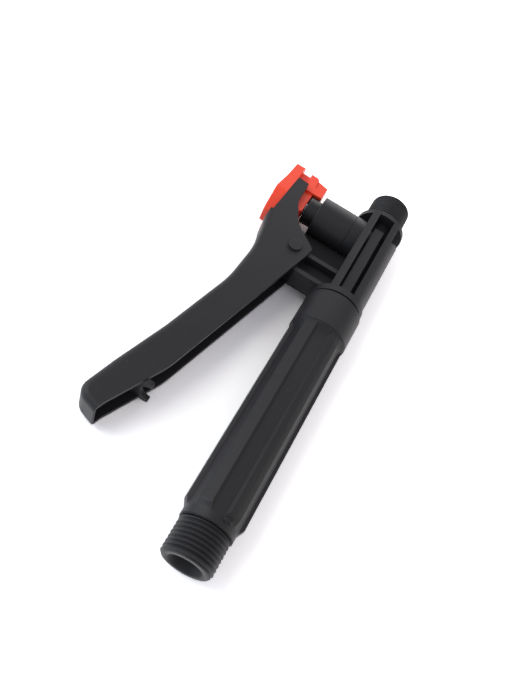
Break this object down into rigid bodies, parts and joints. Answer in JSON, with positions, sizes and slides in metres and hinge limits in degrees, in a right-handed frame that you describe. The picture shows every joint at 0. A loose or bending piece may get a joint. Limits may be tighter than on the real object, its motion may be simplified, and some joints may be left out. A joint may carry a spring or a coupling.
{
  "type": "sprayer trigger handle",
  "caption": "Hand-lever shut-off valve for a sprayer: ribbed tube grip with hose and lance threads, sprung lever that lifts a capped valve stem.",
  "frame": {"origin": "centre of the hose thread's end face, on the barrel's axis", "axes": "+X forward along the barrel to the lance thread, +Y towards the valve bonnet and the lever, +Z across the handle, up when it lies on its side as pictured"},
  "size_m": [0.2012, 0.0789, 0.026],
  "materials": {
    "black_plastic": "moulded black polypropylene, satin with a fine drawn grain",
    "red_plastic": "moulded red acetal, soft gloss",
    "white_plastic": "natural acetal",
    "seal_rubber": "smooth nitrile rubber",
    "steel_mesh": "woven stainless wire",
    "spring_steel": "drawn stainless steel",
    "stem_steel": "turned stainless steel"
  },
  "bodies": {
    "handle": {"grip_tube": "black_plastic", "joint_o_ring": "seal_rubber", "strainer_cage": "white_plastic", "strainer_mesh": "steel_mesh", "valve_body": "black_plastic", "valve_bonnet": "black_plastic", "bonnet_o_ring": "seal_rubber", "gland_bush": "white_plastic", "stem_o_rings": "seal_rubber", "spring_washer": "white_plastic", "return_spring": "spring_steel", "pivot_pin": "black_plastic", "pin_clip": "spring_steel"},
    "trigger": {"lever": "black_plastic"},
    "stem": {"valve_stem": "stem_steel", "seal_disc": "seal_rubber", "seal_screw": "spring_steel"},
    "catch": {"lock_catch": "red_plastic", "catch_pin": "spring_steel"}
  },
  "joints": [
    {"name": "lever_hinge", "type": "hinge", "parent": "handle", "child": "trigger", "pos_m": [0.1431, 0.0289, 0], "axis": [0, 0, 1], "range_deg": [0, 19], "stiffness_Nm_per_rad": 0.35, "springref_deg": -34.38},
    {"name": "stem_slide", "type": "slide", "parent": "handle", "child": "stem", "axis": [0, 1, 0], "range_m": [0, 0.0108], "deforming": ["return_spring"]},
    {"name": "catch_hinge", "type": "hinge", "parent": "stem", "child": "catch", "pos_m": [0.1721, 0.0418, 0], "axis": [0, 0, 1], "range_deg": [0, 19.2]}
  ],
  "couplings": [
    {"joint": "stem_slide", "follows": "lever_hinge", "m_per_rad": 0.0324},
    {"joint": "catch_hinge", "follows": "lever_hinge", "ratio": 1}
  ]
}
